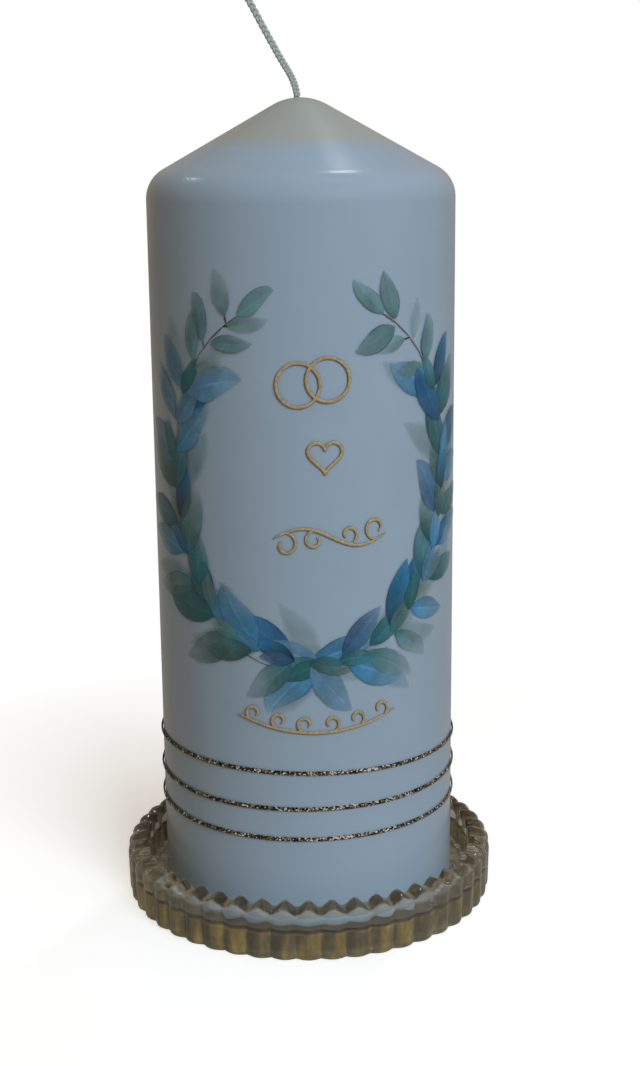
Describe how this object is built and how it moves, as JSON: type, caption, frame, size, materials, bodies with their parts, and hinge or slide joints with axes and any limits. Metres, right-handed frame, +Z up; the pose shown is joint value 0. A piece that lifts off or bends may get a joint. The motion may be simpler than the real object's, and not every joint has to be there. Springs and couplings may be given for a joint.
{
  "type": "wedding candle",
  "caption": "White dipped pillar candle with a pointed top, leaf-wreath film, gold ornaments and glitter cords, on a ribbed pressed-glass plate.",
  "frame": {"origin": "middle of the plate's underside, on the surface that it stands on", "axes": "+Z up along the candle's axis; the decorated front faces -Y; +X is to the right seen from the front"},
  "size_m": [0.102, 0.102, 0.2564],
  "materials": {
    "pressed_glass": "thick pressed glass, smoky olive-brown, fire-polished",
    "core_wax": "poured white wax",
    "dipped_wax": "smooth white dipped wax, satin gloss",
    "braided_cotton": "flat-braided cotton, stiff with wax",
    "printed_film": "thin clear film printed with watercolour leaves",
    "gold_wax": "matt gold decorating wax",
    "glitter_cord": "twisted metallised thread, glittering gold"
  },
  "bodies": {
    "plate": {"glass_plate": "pressed_glass"},
    "candle": {"wax_core": "core_wax", "outer_coat": "dipped_wax", "wick_core": "braided_cotton", "wick_free_end": "braided_cotton", "leaf_film": "printed_film", "rings_ornament": "gold_wax", "heart_ornament": "gold_wax", "scroll_ornament": "gold_wax", "garland_ornament": "gold_wax", "upper_glitter_cord": "glitter_cord", "middle_glitter_cord": "glitter_cord", "lower_glitter_cord": "glitter_cord"}
  },
  "joints": [
    {"name": "candle_lift", "type": "slide", "parent": "plate", "child": "candle", "axis": [0, 0, 1], "range_m": [0, 0.06]}
  ]
}
